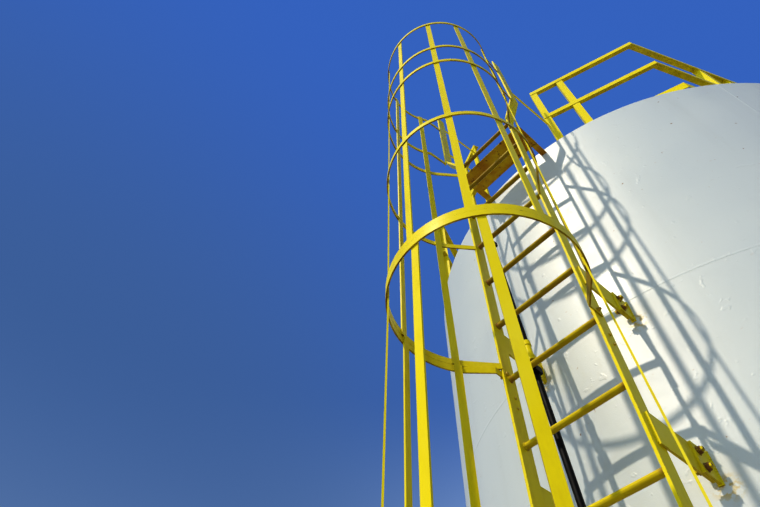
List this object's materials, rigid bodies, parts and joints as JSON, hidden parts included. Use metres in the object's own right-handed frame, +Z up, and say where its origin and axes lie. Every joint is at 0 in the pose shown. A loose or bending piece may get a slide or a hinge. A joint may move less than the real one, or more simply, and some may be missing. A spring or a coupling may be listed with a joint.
{
  "type": "vertical storage tank",
  "caption": "Upright cylindrical steel storage tank with a caged climbing ladder up one side, a landing at the rim and a guardrail round the roof.",
  "frame": {"origin": "centre of the floor plate's underside, on the tank's axis at ground level", "axes": "+Z up along the tank's axis; the ladder and its cage are on the -Y side; +X is to the right of someone who faces the ladder"},
  "size_m": [3.3617, 4.2914, 6.119],
  "materials": {
    "shell_paint": "satin off-white paint",
    "yellow_paint": "safety yellow paint, chipped",
    "black_tube": "matt black"
  },
  "bodies": {
    "root": {"cage_hoop_bottom": "yellow_paint", "cage_hoop_joint_lower": "yellow_paint", "cage_hoop_joint_upper": "yellow_paint", "cage_hoop_rail": "yellow_paint", "cage_hoop_rim": "yellow_paint", "cage_hoop_shoulder": "yellow_paint", "cage_hoop_top": "yellow_paint", "cage_strap_lower_far_left": "yellow_paint", "cage_strap_lower_front": "yellow_paint", "cage_strap_lower_front_left": "yellow_paint", "cage_strap_lower_front_right": "yellow_paint", "cage_strap_lower_left": "yellow_paint", "cage_strap_lower_right": "yellow_paint", "cage_strap_upper_far_left": "yellow_paint", "cage_strap_upper_far_right": "yellow_paint", "cage_strap_upper_front": "yellow_paint", "cage_strap_upper_front_left": "yellow_paint", "cage_strap_upper_front_right": "yellow_paint", "cage_strap_upper_left": "yellow_paint", "cage_strap_upper_right": "yellow_paint", "conduit": "black_tube", "floor_plate": "shell_paint", "guardrail_back": "yellow_paint", "guardrail_back_left": "yellow_paint", "guardrail_back_right": "yellow_paint", "guardrail_entry_left": "yellow_paint", "guardrail_entry_right": "yellow_paint", "guardrail_left": "yellow_paint", "guardrail_right": "yellow_paint", "ladder_lower_section": "yellow_paint", "ladder_upper_section": "yellow_paint", "landing_plate": "yellow_paint", "manway_cover": "shell_paint", "outlet_nozzle": "shell_paint", "roof_hatch": "shell_paint", "roof_plate": "shell_paint", "roof_vent": "shell_paint", "shell_lower_plate_left": "shell_paint", "shell_lower_plate_right": "shell_paint", "shell_manway": "shell_paint", "shell_middle_plate_left": "shell_paint", "shell_middle_plate_right": "shell_paint", "shell_upper_plate_left": "shell_paint", "shell_upper_plate_right": "shell_paint", "standoff_left_1": "yellow_paint", "standoff_left_2": "yellow_paint", "standoff_left_3": "yellow_paint", "standoff_right_1": "yellow_paint", "standoff_right_2": "yellow_paint", "standoff_right_3": "yellow_paint"}
  },
  "joints": []
}
